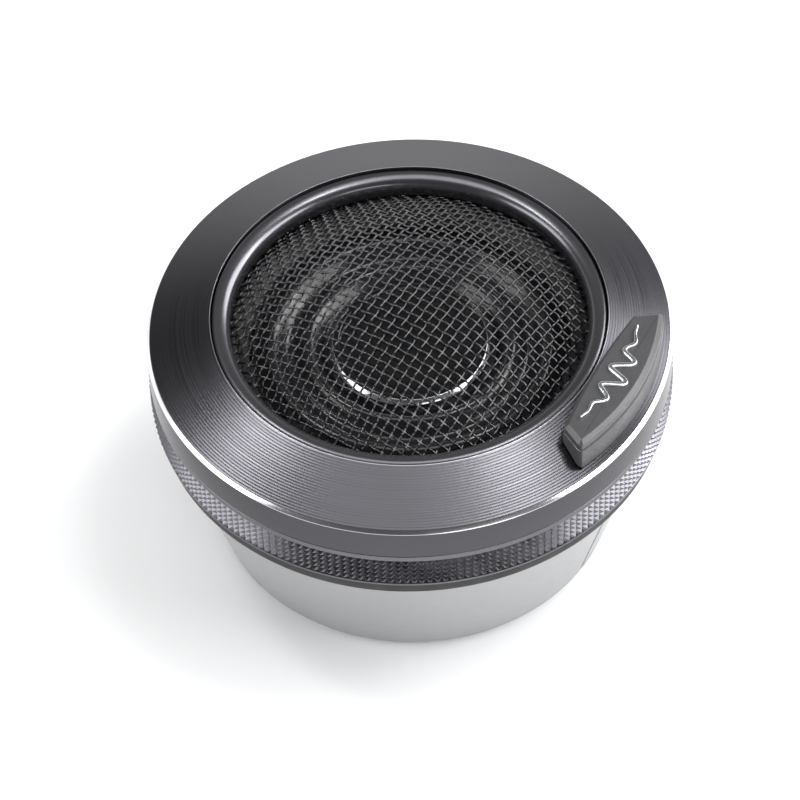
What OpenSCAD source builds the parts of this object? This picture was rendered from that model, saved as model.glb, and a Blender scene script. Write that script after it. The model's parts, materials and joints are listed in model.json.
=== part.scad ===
// Car tweeter: a ring-radiator head in a machined trim ring, locked by a knurled
// twist ring onto a tapered surface-mount cup. Millimetres, +Z up, origin at the
// centre of the base face. Turning the ring lifts the head along three cam grooves.

/* [Trim ring] */
// Radius of the trim ring's vertical rim
rim_r = 27.5; // [27.3:0.1:28]
// Radius of the outer edge of the conical face, inside the chamfer
face_outer_r = 27.0; // [26.8:0.1:27.1]
// Radius of the inner edge of the conical face
face_inner_r = 20.68; // [20.6:0.01:20.8]
// Height of the outer edge of the conical face above the base
face_edge_z = 26.6; // [26.4:0.1:26.8]
// Rise of the conical face from its outer to its inner edge
face_rise = 2.4; // [2.2:0.1:2.6]

/* [Surface cup] */
// Radius of the cup's wall at the base
cup_base_r = 21.4; // [20.8:0.1:22]
// Radius of the cup's wall at its shoulder
cup_top_r = 26.0; // [25.8:0.1:26.4]
// Height of the shoulder that carries the twist ring
cup_shoulder_z = 16.85; // [16.8:0.05:17]

/* [Twist ring] */
// Radius over the tips of the knurl
knurl_tip_r = 27.6; // [27.5:0.05:27.8]
// Height of one row of the knurl
knurl_row = 0.7; // [0.5:0.01:0.72]
// Rise of the head when the ring is turned to its unlocked stop
cam_rise = 1.2; // [0.8:0.1:1.2]
// Turn of the ring between locked and unlocked
cam_turn = 60; // [45:5:60]

/* [Grille] */
// Inner radius of the grille ring's lip
lip_r = 18.65; // [18.5:0.05:18.8]
// Height of the dome of wire cloth above its rim
dome_rise = 7.2; // [5:0.1:8]

/* [Driver] */
// Radius of the flat disc on top of the phase plug
plug_r = 8.1; // [7.8:0.1:8.2]
// Mean radius of the voice coil's former
coil_r = 12.56; // [12.5:0.01:12.6]

/* [Hidden] */
$fn = 120;

// cut-through allowance, small running gap and wide gap
eps = 0.01;
run_gap = 0.07;
free_gap = 0.3;

// slope of the conical face
face_slope = face_rise / (face_outer_r - face_inner_r);
// lower edge of the rim, and where the trim ring sits on the chassis flange
rim_bottom_z = 22.8;
seat_z = 24.4;
boss_z = 26.0;

// neck of the cup, on which the twist ring turns
neck_r = 24.93;
neck_bore_r = 23.3;
neck_top_z = 22.3;
floor_top_z = 2.4;
pad_t = 0.8;
wall_foot_r = 19.8;
bead_z = 19.0;
bead_half = 0.25;
bead_h = 0.45;

// holes in the floor of the cup
fixing_r = 2.15;
side_hole_r = 1.6;
side_hole_x = 12;
lead_y = 11;
lead_r = 2.2;
pad_r = 20.1;

// twist ring
ring_bottom_z = cup_shoulder_z + 0.85;
ring_top_z = rim_bottom_z - 0.15;
ring_bore_r = neck_r + run_gap;
knurl_depth = 0.5;
knurl_rows = 5;
knurl_z = ring_bottom_z + 0.65;

// bayonet lugs of the head, running through the cup's keyways into the cam grooves
lug_angles = [90, 210, 330];
lug_half = 6;
lug_z = 19.6;
lug_t = 1.0;
lug_tip_r = 25.85;
groove_r = 26.15;
cam_gap = 0.12;
cam_steps = 7;
cam_overlap = 0.4;
cam_margin = 0.75;
// each step is cut a little deeper than the last, so that no two share a wall
cam_deeper = 0.01;

// chassis
chassis_r = neck_bore_r - free_gap;
chassis_bore_r = 20.4;
chassis_foot_z = 17.2;
shelf_z = 19.0;
flange_r = 26.1;
screw_r = 21.2;
screw_angles = [30, 150, 270];
screw_top_z = 27.3;
screw_hole_r = 0.85;
head_r = 1.4;
head_t = 1.0;

// motor
pot_r = 16.0;
pot_bore_r = 13.35;
pot_foot_z = 10.5;
pot_floor_z = 12.5;
pot_top_z = 20.2;
pot_flange_r = 17.6;
magnet_r = 11.8;
pole_r = 12.05;
pole_z = 17.0;
cap_t = 0.17;
frame_top_z = 23.4;
frame_bore_r = 16.9;
bolt_r = 1.5;
bolt_hole_r = 1.55;
bolt_head_r = 2.75;
bolt_head_t = 1.8;
bolt_top_z = 22.6;

// diaphragm: two half rolls either side of the voice coil
roll_in_r = 8.75;
roll_out_r = 16.6;
roll_z = 22.75;
roll_h = 1.35;
skin_t = 0.25;
former_half = 0.06;
coil_z = [17.9, 20.5];

// phase plug
plug_top_z = face_edge_z - 2.35;
plug_bevel = 0.4;

// wires and terminals
wire_r = 0.25;
wire_x = 2.0;
wire_y = 18.6;
wire_z = 20.6;
tab_x = 3.4;
tab_foot_z = 10.2;
tab_t = 0.4;
rivet_r = 0.6;
hole_r = 0.65;
board_t = 1.2;
board_z = chassis_foot_z - board_t;

// badge: centre line, outline and heights
badge_a = -28.6;
badge_r = 26.4;
badge_inner = 21.15;
badge_corner = [[21.65, 8.35], [23.95, 9.8]];
badge_gap_z = 29.7;
badge_top_z = 30.9;
badge_bevel = 0.45;
badge_root_z = 25;
peg_r = 0.8;
peg_x = 24;
peg_y = 5;

// cable door in the cup's wall
door_a = -18.6;
door_half = 17.4;
door_z = [1.6, 15.6];
door_t = 1.4;

function face_z(r) = face_edge_z + (face_outer_r - r) * face_slope;
function cup_r(z) = cup_base_r + (cup_top_r - cup_base_r) * z / cup_shoulder_z;
function on_circle(r, a) = [r * cos(a), r * sin(a)];

// ring of rectangular section
module band(r_in, r_out, z0, z1) {
  rotate_extrude() translate([r_in, z0]) square([r_out - r_in, z1 - z0]);
}

// part of such a ring, between two angles
module sector(r_in, r_out, z0, z1, a0, a1) {
  rotate([0, 0, a0])
    rotate_extrude(angle = a1 - a0) translate([r_in, z0]) square([r_out - r_in, z1 - z0]);
}

// upright round bar
module bar(r, z0, z1) {
  translate([0, 0, z0]) cylinder(r = r, h = z1 - z0);
}

// ---- surface cup and what sits on it ----

// door opening or door, as a slice of the tapered wall
module wall_slice(r_grow, a_grow, z_grow, thickness) {
  z0 = door_z[0] - z_grow;
  z1 = door_z[1] + z_grow;
  rotate([0, 0, door_a - door_half - a_grow])
    rotate_extrude(angle = 2 * (door_half + a_grow))
      polygon([
        [cup_r(z0) - thickness, z0], [cup_r(z0) + r_grow, z0],
        [cup_r(z1) + r_grow, z1], [cup_r(z1) - thickness, z1]
      ]);
}

module rear_cup() {
  grommet_seat_r = 3.6;
  recess_r = pad_r + 0.2;
  edge = 0.5;
  color("silver")
    difference() {
      rotate_extrude()
        polygon([
          [0, pad_t], [recess_r, pad_t], [recess_r, 0], [cup_base_r - edge, 0], [cup_r(edge), edge],
          [cup_top_r, cup_shoulder_z], [neck_r, cup_shoulder_z], [neck_r, neck_top_z],
          [neck_bore_r, neck_top_z], [neck_bore_r, chassis_foot_z - 0.4],
          [wall_foot_r, floor_top_z], [0, floor_top_z]
        ]);
      // groove that the twist ring's bead runs in
      band(neck_r - bead_h - 0.03, neck_r + 1, bead_z - bead_half - 0.05, bead_z + bead_half + 0.05);
      // keyways for the head's lugs
      for (a = lug_angles)
        sector(neck_bore_r - 1, neck_r + 1, lug_z - 0.2, neck_top_z + 1,
          a - lug_half - cam_margin, a + lug_half + cam_margin);
      // door opening, with its rebate left inside
      wall_slice(1, 0.9, 0.3, door_t);
      wall_slice(1, -2, -1.2, 6);
      bar(fixing_r, -1, floor_top_z + 1);
      for (x = [-side_hole_x, side_hole_x])
        translate([x, 0, 0]) bar(side_hole_r, -1, floor_top_z + 1);
      translate([0, lead_y, 0]) bar(grommet_seat_r, -1, floor_top_z + 1);
    }
}

module base_pad() {
  color("dimgray")
    difference() {
      bar(pad_r, 0, pad_t);
      bar(fixing_r + 1.05, -1, pad_t + 1);
      for (x = [-side_hole_x, side_hole_x])
        translate([x, 0, 0]) bar(side_hole_r + 0.8, -1, pad_t + 1);
      translate([0, lead_y, 0]) bar(2 * lead_r + 0.2, -1, pad_t + 1);
    }
}

module cable_door() {
  color("silver")
    difference() {
      wall_slice(0, 0, 0, door_t - 0.05);
      // finger notch on the inner side of the lower edge
      rotate([0, 0, door_a])
        translate([cup_r(door_z[0]) - door_t, 0, door_z[0]]) sphere(r = 0.9, $fn = 24);
    }
}

module cable_grommet() {
  neck = 3.55;
  collar = 2 * lead_r;
  color("black")
    translate([0, lead_y, 0])
      rotate_extrude()
        polygon([
          [lead_r, 0.2], [collar, 0.2], [collar, pad_t], [neck, pad_t], [neck, floor_top_z],
          [collar, floor_top_z], [collar - 0.4, floor_top_z + 1], [lead_r, floor_top_z + 1]
        ]);
}

module slip_washer() {
  color("black") band(neck_r + 0.05, 26.95, cup_shoulder_z, ring_bottom_z - 0.05);
}

// ---- twist ring ----

// height of the cam's lower side at an angle past the locked position
function cam_low(turn) = lug_z + cam_rise * min(max(turn - lug_half, 0), cam_turn) / cam_turn;
function cam_high(turn) = lug_z + lug_t + cam_rise * min(max(turn + lug_half, 0), cam_turn) / cam_turn;

module cam_groove(a) {
  first = lug_half + cam_margin;
  step = (cam_turn + 2 * first) / cam_steps;
  for (i = [0:cam_steps - 1]) {
    turn0 = -first + i * step;
    turn1 = turn0 + step;
    gap = cam_gap + i * cam_deeper / 2;
    sector(ring_bore_r - 1 - i * cam_deeper, groove_r + i * cam_deeper,
      cam_low(turn0) - gap, cam_high(turn1) + gap,
      a - turn1 - cam_overlap, a - turn0 + cam_overlap);
  }
  // way out for the lug at the unlocked end
  sector(ring_bore_r - 1.5, groove_r + 0.1, lug_z + cam_rise, ring_top_z + 1,
    a - cam_turn - first, a - cam_turn + first);
}

module twist_ring() {
  foot = knurl_tip_r - knurl_depth;
  knurl_top_z = knurl_z + knurl_rows * knurl_row;
  color("dimgray")
    difference() {
      rotate_extrude()
        polygon(concat(
          [[ring_bore_r, bead_z + bead_half], [ring_bore_r - bead_h, bead_z + bead_half - 0.15],
           [ring_bore_r - bead_h, bead_z - bead_half + 0.15], [ring_bore_r, bead_z - bead_half],
           [ring_bore_r, ring_bottom_z], [knurl_tip_r - 0.25, ring_bottom_z],
           [knurl_tip_r - 0.15, ring_bottom_z + 0.1], [knurl_tip_r - 0.15, knurl_z - 0.1]],
          [for (i = [0:knurl_rows - 1])
            for (p = [[foot, 0], [knurl_tip_r, 0.5]]) [p[0], knurl_z + (i + p[1]) * knurl_row]],
          [[foot, knurl_top_z], [knurl_tip_r - 0.15, knurl_top_z + 0.1],
           [knurl_tip_r - 0.15, ring_top_z - 0.1], [knurl_tip_r - 0.25, ring_top_z],
           [ring_bore_r + 0.2, ring_top_z], [ring_bore_r, ring_top_z - 0.2]]
        ));
      for (a = lug_angles) cam_groove(a);
    }
}

// ---- head: chassis, trim and grille ----

module chassis() {
  color("black")
    difference() {
      union() {
        rotate_extrude()
          polygon([
            [pot_r + 0.1, chassis_foot_z], [chassis_r, chassis_foot_z], [chassis_r, rim_bottom_z],
            [flange_r, rim_bottom_z], [flange_r, seat_z], [chassis_bore_r, seat_z],
            [chassis_bore_r, shelf_z], [pot_r + 0.1, shelf_z]
          ]);
        for (a = lug_angles)
          sector(chassis_r - 0.5, lug_tip_r, lug_z, lug_z + lug_t, a - lug_half, a + lug_half);
      }
      for (a = screw_angles)
        rotate([0, 0, a]) translate([screw_r, 0, 0]) {
          bar(screw_hole_r, chassis_foot_z - 1, seat_z + 1);
          bar(head_r + 0.1, chassis_foot_z - 1, chassis_foot_z + head_t + 0.1);
        }
      for (x = [-wire_x, wire_x])
        translate([x, wire_y, 0]) bar(0.6, chassis_foot_z - 1, shelf_z + 1);
      for (x = [-tab_x, tab_x])
        translate([x, wire_y, 0]) bar(hole_r, chassis_foot_z - 1, shelf_z + 1);
    }
}

module head_gasket() {
  color("black") band(neck_bore_r + 0.15, neck_r - 0.1, neck_top_z + 0.05, rim_bottom_z);
}

module trim_ring() {
  bore_r = face_inner_r - 0.18;
  step_r = 22.2;
  recess_r = flange_r + 0.1;
  color("dimgray")
    difference() {
      rotate_extrude()
        polygon([
          [bore_r, boss_z], [step_r, boss_z], [step_r, seat_z], [recess_r, seat_z],
          [recess_r, rim_bottom_z],
          [rim_r, rim_bottom_z], [rim_r, face_edge_z - 0.4], [face_outer_r, face_edge_z],
          [face_inner_r, face_z(face_inner_r)], [bore_r, face_z(face_inner_r) - 0.6]
        ]);
      for (a = screw_angles)
        rotate([0, 0, a]) translate([screw_r, 0, 0]) bar(screw_hole_r, boss_z - 1, screw_top_z + 0.2);
      for (t = [-peg_y, peg_y])
        rotate([0, 0, badge_a]) translate([peg_x, t, 0]) bar(peg_r + 0.05, 25.2, badge_gap_z);
    }
}

module trim_screws() {
  color("lightgray")
    for (a = screw_angles)
      rotate([0, 0, a]) translate([screw_r, 0, 0])
        difference() {
          union() {
            bar(head_r, chassis_foot_z + 0.1, chassis_foot_z + 0.1 + head_t);
            bar(0.8, chassis_foot_z + head_t, screw_top_z);
          }
          bar(0.55, chassis_foot_z, chassis_foot_z + 0.7, $fn = 6);
        }
}

module face_plate() {
  mouth_r = 17.0;
  plate_r = 22.1;
  color("black")
    difference() {
      rotate_extrude()
        polygon([
          [mouth_r, frame_top_z], [chassis_bore_r - 0.1, frame_top_z],
          [chassis_bore_r - 0.1, seat_z], [plate_r, seat_z], [plate_r, boss_z],
          [lip_r - 0.05, boss_z], [mouth_r, frame_top_z + 0.6]
        ]);
      for (a = screw_angles)
        rotate([0, 0, a]) translate([screw_r, 0, 0]) bar(screw_hole_r, seat_z - 1, boss_z + 1);
    }
}

// half-round crown of the grille ring, from its outer to its inner shoulder
module grille_ring() {
  outer_r = face_inner_r - 0.28;
  shoulder_z = 27.75;
  crown_h = 0.75;
  lean = 0.25;
  seat_r = cloth_out_r + 0.1;
  crown = [for (t = [0:0.1:1])
    [outer_r + (lip_r - outer_r) * t,
     shoulder_z + lean * t + crown_h * sin(180 * t) * (1 - 0.2 * t)]];
  color("black")
    rotate_extrude()
      polygon(concat(
        [[seat_r, boss_z], [outer_r, boss_z]],
        crown,
        [[lip_r, dome_foot_z], [seat_r, dome_foot_z]]
      ));
}

// dome of the wire cloth as an arc through its rim and its crown
dome_r = (pow(lip_r - 0.15, 2) + pow(dome_rise, 2)) / (2 * dome_rise);
dome_a = asin((lip_r - 0.15) / dome_r);
dome_foot_z = 26.75;
cloth_t = 0.4;
cloth_out_r = lip_r + 0.95;

module grille_mesh() {
  steps = 24;
  function arc(r) = [for (i = [0:steps]) let (a = dome_a * i / steps)
    [r * sin(a), dome_foot_z - dome_r * cos(dome_a) + r * cos(a)]];
  upper = arc(dome_r);
  lower = arc(dome_r - cloth_t);
  color("black")
    rotate_extrude()
      polygon(concat(
        upper,
        [[cloth_out_r, dome_foot_z - 0.02], [cloth_out_r, dome_foot_z - cloth_t]],
        [for (i = [steps:-1:0]) lower[i]]
      ));
}

module mesh_retainer() {
  color("black") band(lip_r - 0.15, cloth_out_r, boss_z, dome_foot_z - cloth_t - 0.02);
}

// ---- badge ----

// outline of the badge: an arc outside, a chord inside and slanted ends
module badge_outline(inset = 0) {
  corner_in = badge_corner[0];
  corner_out = badge_corner[1];
  intersection() {
    circle(r = badge_r - inset);
    polygon([
      [badge_inner + inset, 0], [corner_in[0] + inset, corner_in[1] - inset],
      [corner_out[0], corner_out[1] - inset], [badge_r + 4, corner_out[1] - inset],
      [badge_r + 4, inset - corner_out[1]], [corner_out[0], inset - corner_out[1]],
      [corner_in[0] + inset, inset - corner_in[1]]
    ]);
  }
}

// everything below the conical face raised by a small lift
module face_cone(lift) {
  foot_z = 20;
  out_r = 30;
  rotate_extrude()
    polygon([
      [0, foot_z], [out_r, foot_z], [out_r, face_z(out_r) + lift],
      [face_inner_r, face_z(face_inner_r) + lift], [0, face_z(face_inner_r) + lift]
    ]);
}

module badge_base() {
  color("dimgray")
    union() {
      difference() {
        rotate([0, 0, badge_a]) translate([0, 0, badge_root_z])
          linear_extrude(badge_gap_z - badge_root_z) badge_outline();
        face_cone(0.2);
      }
      rotate([0, 0, badge_a])
        for (t = [-peg_y, peg_y]) translate([peg_x, t, 0]) bar(peg_r, badge_root_z + 0.4, 29);
    }
}

module badge_cap() {
  lid_z = badge_gap_z + 0.08;
  color("dimgray")
    rotate([0, 0, badge_a]) {
      translate([0, 0, lid_z])
        linear_extrude(badge_top_z - badge_bevel - lid_z) badge_outline(0.1);
      hull() {
        translate([0, 0, badge_top_z - badge_bevel - eps])
          linear_extrude(eps) badge_outline(0.1, $fn = 96);
        translate([0, 0, badge_top_z - eps])
          linear_extrude(eps) badge_outline(0.1 + badge_bevel, $fn = 96);
      }
    }
}

// raised ribbon in the shape of a fading sound wave
module badge_emblem() {
  length = 14;
  half_w = 0.22;
  swing = 1.15;
  waves = 5;
  steps = 90;
  mid_r = 23.85;
  function wave(s) = swing * sin(360 * waves * s) * pow(cos(180 * (s - 0.5)), 2);
  function along(s, side) =
    let (a = (s - 0.5) * length / mid_r * 180 / PI)
    on_circle(mid_r + wave(s) + side * half_w * (1 + 1.1 * abs(cos(360 * waves * s))
      * pow(cos(180 * (s - 0.5)), 2)), a);
  color("gainsboro")
    rotate([0, 0, badge_a]) translate([0, 0, badge_top_z])
      linear_extrude(0.25)
        polygon(concat(
          [for (i = [0:steps]) along(i / steps, 1)],
          [for (i = [steps:-1:0]) along(i / steps, -1)]
        ));
}

module badge_pad() {
  color("black")
    difference() {
      intersection() {
        rotate([0, 0, badge_a]) translate([0, 0, badge_root_z])
          linear_extrude(6) badge_outline(0.5);
        face_cone(0.18);
      }
      face_cone(0.02);
      bar(face_inner_r + 0.1, badge_root_z - 1, badge_top_z);
      rotate([0, 0, badge_a])
        for (t = [-peg_y, peg_y])
          translate([peg_x, t, 0]) bar(peg_r + 0.2, badge_root_z - 1, badge_top_z);
    }
}

// ---- motor ----

module pot_yoke() {
  color("gray")
    rotate_extrude()
      polygon([
        [bolt_hole_r, pot_foot_z], [pot_r - 0.5, pot_foot_z], [pot_r, pot_foot_z + 0.5],
        [pot_r, shelf_z], [pot_flange_r, shelf_z], [pot_flange_r, pot_top_z],
        [pot_bore_r, pot_top_z], [pot_bore_r, pot_floor_z], [bolt_hole_r, pot_floor_z]
      ]);
}

module magnet() {
  color("lightgray") band(2.0, magnet_r, pot_floor_z, pole_z);
}

module pole_disc() {
  color("gray") band(bolt_hole_r, pole_r, pole_z, pot_top_z);
}

module shorting_cap() {
  eye_r = 4.2;
  color("peru")
    rotate_extrude()
      polygon([
        [eye_r, pot_top_z], [pole_r, pot_top_z], [pole_r, pole_z], [pole_r + cap_t, pole_z],
        [pole_r + cap_t, pot_top_z + cap_t], [eye_r, pot_top_z + cap_t]
      ]);
}

module gap_felt() {
  color("darkgray") band(magnet_r + 0.1, pot_bore_r - 0.1, pot_floor_z, pot_floor_z + 1.8);
}

module pole_felt() {
  color("darkgray") band(4.4, 11.4, pot_top_z + cap_t, pot_top_z + 1.3);
}

module phase_plug() {
  stem_r = 4.0;
  stem_top_z = 22.0;
  color("black")
    difference() {
      rotate_extrude()
        polygon([
          [0, pot_top_z], [stem_r, pot_top_z], [stem_r, stem_top_z], [plug_r, frame_top_z - 0.1],
          [plug_r + plug_bevel, frame_top_z], [plug_r + plug_bevel, plug_top_z - plug_bevel],
          [plug_r, plug_top_z], [0, plug_top_z]
        ]);
      bar(bolt_hole_r, pot_top_z - 1, bolt_top_z + 0.2);
    }
}

module motor_bolt() {
  color("silver")
    difference() {
      union() {
        bar(bolt_head_r, pot_foot_z - bolt_head_t, pot_foot_z);
        bar(bolt_r, pot_foot_z - 0.5, bolt_top_z);
      }
      bar(1.25, pot_foot_z - bolt_head_t - 0.2, pot_foot_z - 0.7, $fn = 6);
    }
}

// ---- moving system ----

module diaphragm_frame() {
  channel_w = 6.4;
  color("black")
    difference() {
      rotate_extrude()
        polygon([
          [frame_bore_r, pot_top_z], [pot_flange_r + 0.15, pot_top_z],
          [pot_flange_r + 0.15, shelf_z], [chassis_bore_r - 0.1, shelf_z],
          [chassis_bore_r - 0.1, frame_top_z], [frame_bore_r, frame_top_z]
        ]);
      // channel for the lead wires
      translate([-channel_w / 2, 15, shelf_z - 1])
        cube([channel_w, wire_y - 15 + 0.8, wire_z - shelf_z + 1.5]);
    }
}

// height of the rolled skin above its flat edges
function roll(r) = roll_h * pow(sin(180 * (r < coil_r
  ? (r - roll_in_r) / (coil_r - roll_in_r) : (r - coil_r) / (roll_out_r - coil_r))), 2);

module diaphragm() {
  steps = 48;
  radii = [for (i = [0:steps]) roll_in_r + (roll_out_r - roll_in_r) * i / steps];
  color("black")
    rotate_extrude()
      polygon(concat(
        [for (r = radii) [r, roll_z + roll(r)]],
        [for (i = [steps:-1:0]) [radii[i], roll_z + roll(radii[i]) + skin_t]]
      ));
}

module coil_former() {
  color("tan") band(coil_r - former_half, coil_r + former_half, coil_z[0] - 0.3, roll_z);
}

module voice_coil() {
  color("orange") band(coil_r + former_half, coil_r + former_half + 0.32, coil_z[0], coil_z[1]);
}

// ---- leads and terminals ----

module lead_wires() {
  wire_start_y = 13.8;
  color("orange")
    for (x = [-wire_x, wire_x]) {
      translate([x, wire_start_y, wire_z])
        rotate([-90, 0, 0]) cylinder(r = wire_r, h = wire_y - wire_start_y, $fn = 24);
      translate([x, wire_y, wire_z]) sphere(r = wire_r, $fn = 24);
      translate([x, wire_y, 0]) bar(wire_r, board_z - 0.6, wire_z, $fn = 24);
    }
}

module terminal_board() {
  board_w = 10;
  board_d = 3.2;
  color("saddlebrown")
    difference() {
      translate([-board_w / 2, wire_y - board_d / 2, board_z]) cube([board_w, board_d, board_t]);
      for (x = [-wire_x, wire_x]) translate([x, wire_y, 0]) bar(0.4, board_z - 1, chassis_foot_z + 1);
      for (x = [-tab_x, tab_x]) translate([x, wire_y, 0]) bar(hole_r, board_z - 1, chassis_foot_z + 1);
    }
}

module terminal_tabs() {
  tab_w = 1.8;
  tab_d = 2.8;
  eye_r = 0.45;
  color("gold")
    for (x = [-tab_x, tab_x])
      translate([x, wire_y, 0])
        difference() {
          union() {
            translate([-tab_w / 2, -tab_d / 2, board_z - tab_t]) cube([tab_w, tab_d, tab_t]);
            translate([-tab_w / 2, tab_d / 2 - tab_t, tab_foot_z])
              cube([tab_w, tab_t, board_z - tab_foot_z]);
          }
          bar(hole_r, tab_foot_z, board_z + 1);
          translate([0, 0, tab_foot_z + 1.4])
            rotate([-90, 0, 0]) cylinder(r = eye_r, h = tab_d, $fn = 24);
        }
}

module terminal_rivets() {
  color("silver")
    for (x = [-tab_x, tab_x])
      translate([x, wire_y, 0]) {
        bar(rivet_r, board_z - 0.7, shelf_z - 0.2);
        bar(rivet_r + 0.4, board_z - 0.9, board_z - tab_t - 0.02);
      }
}

rear_cup();
base_pad();
cable_door();
cable_grommet();
slip_washer();
twist_ring();
chassis();
head_gasket();
trim_ring();
trim_screws();
face_plate();
grille_ring();
grille_mesh();
mesh_retainer();
badge_base();
badge_cap();
badge_emblem();
badge_pad();
pot_yoke();
magnet();
pole_disc();
shorting_cap();
gap_felt();
pole_felt();
phase_plug();
motor_bolt();
diaphragm_frame();
diaphragm();
coil_former();
voice_coil();
lead_wires();
terminal_board();
terminal_tabs();
terminal_rivets();
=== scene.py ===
import json
import math

import bmesh
import bpy
import numpy as np
from mathutils import Matrix, Vector


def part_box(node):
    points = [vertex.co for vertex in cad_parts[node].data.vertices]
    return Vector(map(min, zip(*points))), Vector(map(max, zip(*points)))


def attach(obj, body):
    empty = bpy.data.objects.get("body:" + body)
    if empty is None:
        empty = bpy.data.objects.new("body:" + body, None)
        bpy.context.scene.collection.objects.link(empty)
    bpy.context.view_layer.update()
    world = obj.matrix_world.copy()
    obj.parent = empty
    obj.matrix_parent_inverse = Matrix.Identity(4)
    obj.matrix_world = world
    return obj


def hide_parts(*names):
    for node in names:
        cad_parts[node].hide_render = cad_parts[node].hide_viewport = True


bl_info = {
    "name": "Ring Radiator Tweeter",
    "version": (1, 0, 0),
    "blender": (4, 5, 0),
    "location": "View3D > Sidebar > Tweeter",
    "description": "Builds the seen surfaces and finishes of a car tweeter round its packed frame",
    "category": "Add Mesh",
}

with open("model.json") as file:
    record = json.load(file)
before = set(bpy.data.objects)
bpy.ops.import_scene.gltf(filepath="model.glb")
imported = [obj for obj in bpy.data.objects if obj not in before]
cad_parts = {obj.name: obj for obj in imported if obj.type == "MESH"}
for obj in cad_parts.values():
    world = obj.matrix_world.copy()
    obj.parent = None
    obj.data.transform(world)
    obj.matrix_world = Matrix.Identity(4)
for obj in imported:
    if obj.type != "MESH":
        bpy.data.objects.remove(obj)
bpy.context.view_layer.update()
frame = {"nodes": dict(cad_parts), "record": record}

MM = 0.001
TAU = 2 * math.pi
UV_NAME = "Surface"


def low_z(node):
    """Lowest height of a CAD node, in millimetres."""
    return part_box(node)[0].z / MM


def high_z(node):
    """Highest height of a CAD node, in millimetres."""
    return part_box(node)[1].z / MM


def far_x(node):
    """Radius of a round CAD node that is centred on the axis, in millimetres."""
    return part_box(node)[1].x / MM


# ---------------- settings


def length(title, text, default):
    """A length property in millimetres, which the sidebar shows as a plain number."""
    return bpy.props.FloatProperty(
        name=title, description=f"{text}, mm", default=default, min=0.0, precision=3)


def rotation(title, text, degrees):
    """An angle property, whose default is given in degrees."""
    return bpy.props.FloatProperty(
        name=title, description=text, default=math.radians(degrees), subtype="ANGLE")


def number(title, text, default):
    return bpy.props.IntProperty(name=title, description=text, default=default, min=3)


def colour(title, text, default):
    return bpy.props.FloatVectorProperty(
        name=title, description=text, default=default, subtype="COLOR", size=3, min=0.0, max=1.0)


class TrimSizes(bpy.types.PropertyGroup):
    rim_r: length("Rim radius", "Outer radius of the trim ring", far_x("trim_ring"))
    rim_h: length("Rim height", "Height of the upright rim and its chamfer", 3.8)
    chamfer: length("Chamfer", "Width of the polished outer chamfer", 0.36)
    face_inner_r: length("Face inner radius", "Radius where the conical face ends", 20.68)
    groove_pitch: length("Groove pitch", "Spacing of the turned grooves", 0.28)
    groove_depth: length("Groove depth", "Depth of the turned grooves", 0.0035)
    segments: number("Segments", "Steps round the axis", 384)


class KnurlSizes(bpy.types.PropertyGroup):
    columns: number("Columns", "Pyramids round the ring", 216)
    rows: number("Rows", "Pyramids across the ring", 5)
    row_h: length("Row height", "Height of one row of pyramids", 0.7)
    start_h: length("Start", "Plain lip below the pyramids", 0.65)
    shadow_gap: length("Shadow gap", "Extra height of washer that shows below the ring", 0.3)
    depth: length("Depth", "Height of a pyramid above its valleys", 0.38)
    tip: bpy.props.FloatProperty(
        name="Tip", description="Width of the flat on a pyramid as a share of its foot",
        default=0.06, subtype="FACTOR", min=0.0, max=0.5)


class ClothSizes(bpy.types.PropertyGroup):
    pitch: length("Pitch", "Spacing of the wires, measured along the dome", 1.025)
    wire: length("Wire", "Diameter of the wire", 0.24)
    turn: rotation("Turn", "Direction of the first set of wires", -33.7)
    lip_r: length("Lip radius", "Inner radius of the grille ring", 18.65)
    seat_h: length("Seat", "Height of the cloth's rim above the grille ring's foot", 0.75)
    samples: number("Samples", "Points along the longest wire", 240)
    sides: number("Sides", "Sides of a wire", 6)


class BadgeSizes(bpy.types.PropertyGroup):
    turn: rotation("Turn", "Direction of the badge's middle", -28.6)
    outer_r: length("Outer radius", "Radius of the outer side", 26.4)
    inner_x: length("Inner side", "Distance of the inner side's middle from the axis", 21.15)
    bevel: length("Bevel", "Width of the cap's chamfer", 0.45)
    wave_length: length("Wave length", "Length of the wave emblem", 14.0)
    wave_r: length("Wave radius", "Radius of the wave emblem's middle line", 23.85)
    wave_swing: length("Wave swing", "Height of the tallest crest", 1.15)
    wave_half: length("Wave half width", "Half the width of the line", 0.28)
    waves: number("Waves", "Crests of the wave", 5)


class DriverSizes(bpy.types.PropertyGroup):
    plug_r: length("Plug radius", "Radius of the flat disc", 8.1)
    plug_bevel: length("Plug bevel", "Width of the disc's polished bevel", 0.4)
    roll_in_r: length("Roll inner radius", "Radius where the inner roll starts", 8.75)
    roll_mid_r: length("Coil radius", "Radius where the two rolls meet", 12.56)
    roll_out_r: length("Roll outer radius", "Radius where the outer roll ends", 16.6)
    roll_h: length("Roll height", "Height of the rolls", 1.35)
    skin: length("Skin", "Thickness of the diaphragm", 0.25)


class Colours(bpy.types.PropertyGroup):
    anodised: colour("Anodised", "Dark anodised aluminium", (0.079, 0.078, 0.086))
    paint: colour("Cup paint", "Silver paint of the cup", (0.335, 0.338, 0.346))
    badge: colour("Badge", "Satin plastic of the badge", (0.062, 0.062, 0.065))
    floor: colour("Floor", "Floor and backdrop", (0.93, 0.935, 0.94))


class StageSizes(bpy.types.PropertyGroup):
    elevation: rotation("Elevation", "Height of the camera above the horizon", 48.5)
    distance: length("Distance", "Camera to the middle of the trim ring's face", 380.7)
    lens: length("Lens", "Focal length", 164.45)
    aim_x: length("Aim X", "Sideways offset of the aim", 1.233)
    aim_y: length("Aim Y", "Forward offset of the aim", 10.07)
    roll: rotation("Roll", "Turn of the camera about its own axis", 2.19)


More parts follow.
